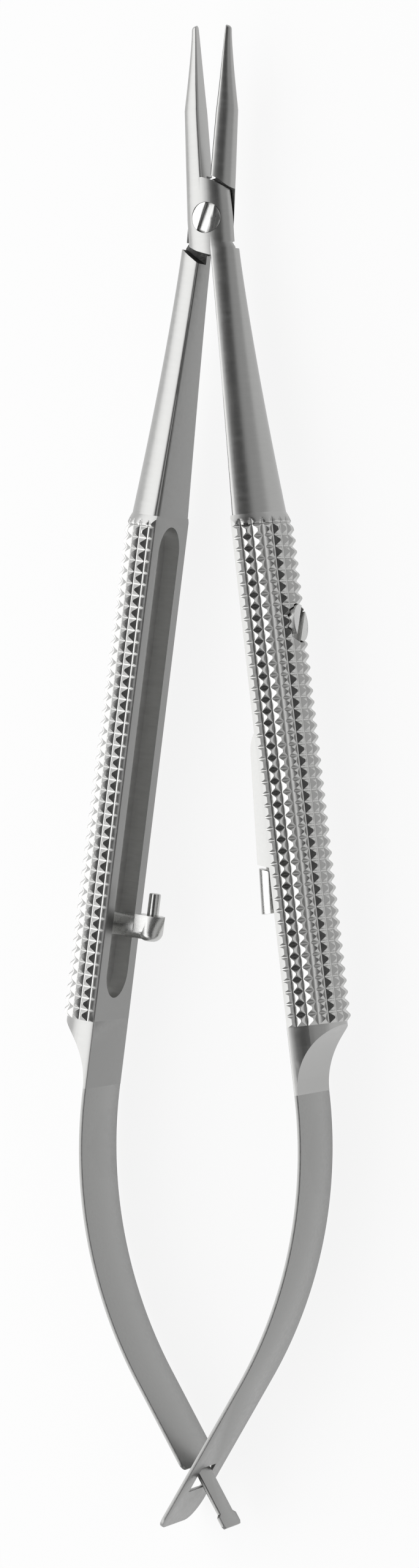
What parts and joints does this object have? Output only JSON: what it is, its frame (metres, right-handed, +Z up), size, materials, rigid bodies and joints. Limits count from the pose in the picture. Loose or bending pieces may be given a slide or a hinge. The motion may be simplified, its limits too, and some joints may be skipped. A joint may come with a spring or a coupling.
{
  "type": "surgical needle holder",
  "caption": "Micro surgical needle holder with a lap joint, half-round knurled handles, crossed leaf springs at the tail and a pin catch, lying flat with its jaws open.",
  "frame": {"origin": "centre of the holder's bounding box in X and Y, at its lowest point in Z", "axes": "+Y toward the jaws, +X toward the handle that carries the catch plate, +Z up, along the joint's screw"},
  "size_m": [0.0362, 0.1794, 0.0113],
  "materials": {
    "front_arm": "satin brushed stainless steel, knurled grip",
    "rear_arm": "satin brushed stainless steel, knurled grip",
    "joint_screw": "fine ground stainless steel",
    "windowed_leaf": "satin spring steel",
    "tongued_leaf": "satin spring steel",
    "catch_plate": "polished spring steel",
    "catch_block": "polished steel",
    "catch_screw": "ground stainless steel",
    "catch_post": "polished steel",
    "catch_pin": "polished steel"
  },
  "bodies": {
    "front_arm": {"front_arm": "front_arm", "catch_screw": "catch_screw"},
    "rear_arm": {"rear_arm": "rear_arm", "joint_screw": "joint_screw", "catch_post": "catch_post", "catch_pin": "catch_pin"},
    "windowed_leaf": {"windowed_leaf": "windowed_leaf"},
    "tongued_leaf": {"tongued_leaf": "tongued_leaf"},
    "catch_lever": {"catch_plate": "catch_plate", "catch_block": "catch_block"}
  },
  "joints": [
    {"name": "main_pivot", "type": "hinge", "parent": "front_arm", "child": "rear_arm", "pos_m": [0, 0.06655, 0.00566], "axis": [0, 0, 1], "range_deg": [0, 8.6], "stiffness_Nm_per_rad": 1.5, "springref_deg": -1.72},
    {"name": "windowed_leaf_bend", "type": "hinge", "parent": "front_arm", "child": "windowed_leaf", "pos_m": [0.01355, -0.0377, 0.00566], "axis": [0, 0, 1], "range_deg": [0, 14.2]},
    {"name": "tongued_leaf_bend", "type": "hinge", "parent": "rear_arm", "child": "tongued_leaf", "pos_m": [-0.01355, -0.0377, 0.00566], "axis": [0, 0, 1], "range_deg": [-14.2, 0]},
    {"name": "catch_flex", "type": "hinge", "parent": "front_arm", "child": "catch_lever", "pos_m": [0.00634, 0.01756, 0.00566], "axis": [0.9921, 0.1253, 0], "range_deg": [-2, 2], "stiffness_Nm_per_rad": 0.8}
  ],
  "couplings": [
    {"joint": "windowed_leaf_bend", "follows": "main_pivot", "ratio": 1.65},
    {"joint": "tongued_leaf_bend", "follows": "main_pivot", "ratio": -1.65}
  ]
}
